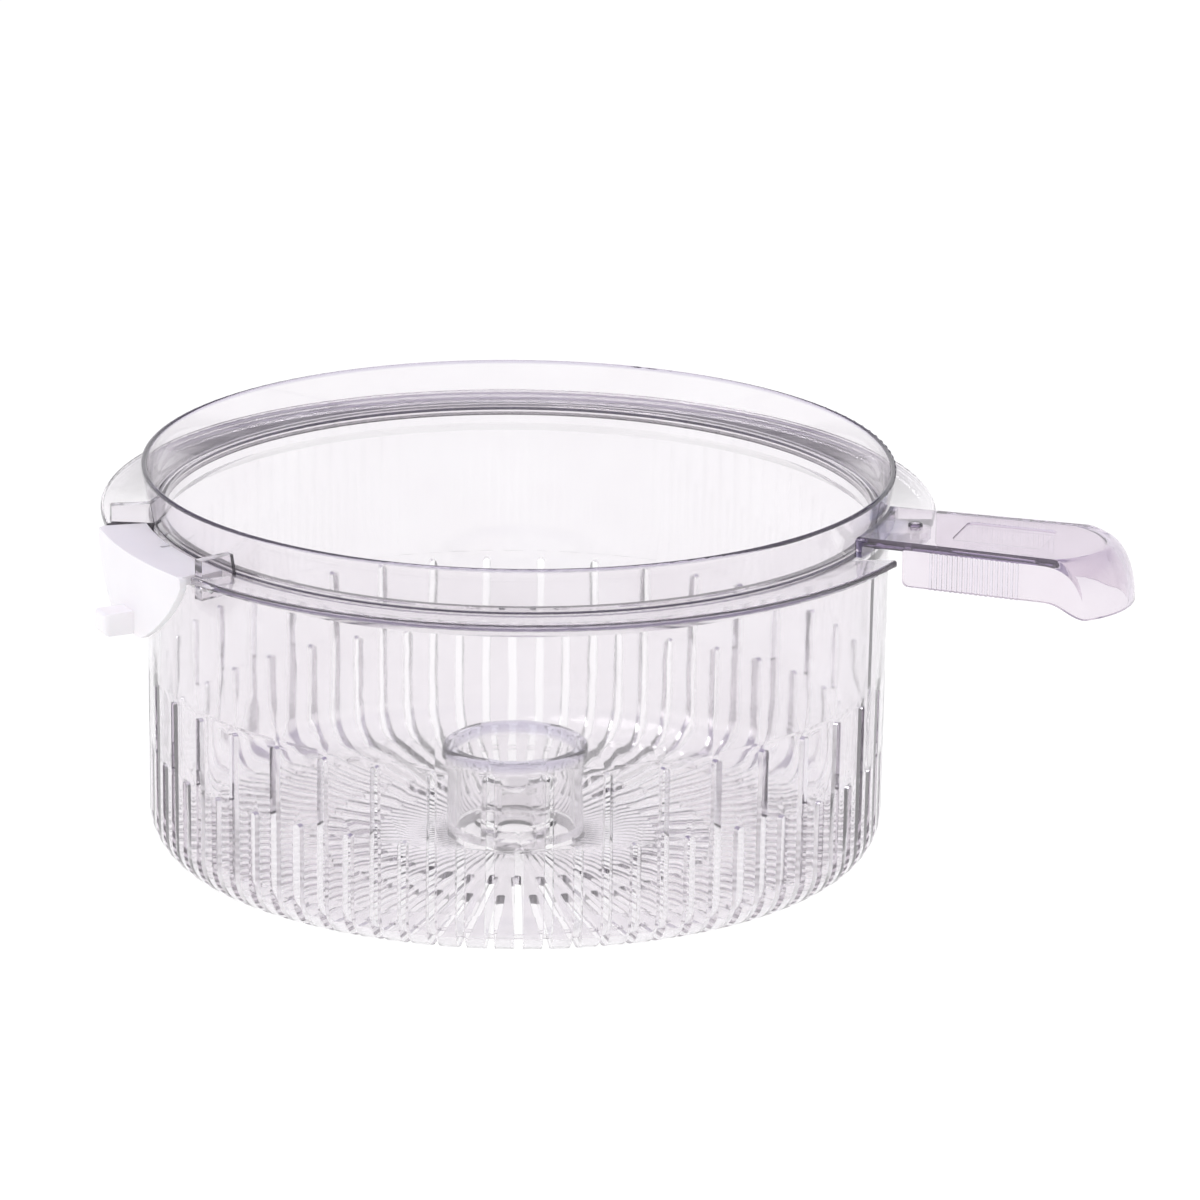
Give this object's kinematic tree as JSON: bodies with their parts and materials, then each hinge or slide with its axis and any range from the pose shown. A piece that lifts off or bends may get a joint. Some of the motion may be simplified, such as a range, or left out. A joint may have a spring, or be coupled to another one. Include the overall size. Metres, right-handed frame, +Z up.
{
  "type": "salad spinner basket",
  "caption": "Slotted clear basket that turns inside a clear collar with a hollow handle and a sprung latch.",
  "frame": {"origin": "mouth of the drive bore, in the middle of the drum's underside, which the basket stands on", "axes": "+Z up along the spin axis, +X along the handle, away from the collar"},
  "size_m": [0.3341, 0.2652, 0.127],
  "materials": {
    "clear_collar": "clear moulded plastic",
    "clear_handle": "clear moulded plastic",
    "clear_drum": "clear moulded plastic",
    "clear_hub": "clear moulded plastic",
    "smoke_polymer": "dark smoke-grey bearing plastic",
    "white_latch": "satin white plastic",
    "pin_steel": "ground steel pin",
    "spring_steel": "spring wire"
  },
  "bodies": {
    "carrier": {"carrier_ring": "clear_collar", "glide_ring": "smoke_polymer", "handle": "clear_handle", "handle_rivet": "clear_handle", "latch_pin": "pin_steel", "latch_spring": "spring_steel"},
    "basket": {"drum": "clear_drum", "hub_tube": "clear_hub", "drive_bush": "clear_hub"},
    "latch": {"latch": "white_latch"}
  },
  "joints": [
    {"name": "drum_spin", "type": "hinge", "parent": "carrier", "child": "basket", "pos_m": [0, 0, 0.112], "axis": [0, 0, 1], "continuous": true},
    {"name": "latch_pivot", "type": "hinge", "parent": "carrier", "child": "latch", "pos_m": [-0.08669, -0.08669, 0.1088], "axis": [-0.7071, 0.7071, 0], "range_deg": [0, 30], "stiffness_Nm_per_rad": 0.02, "springref_deg": -28.65, "deforming": ["latch_spring"]}
  ]
}
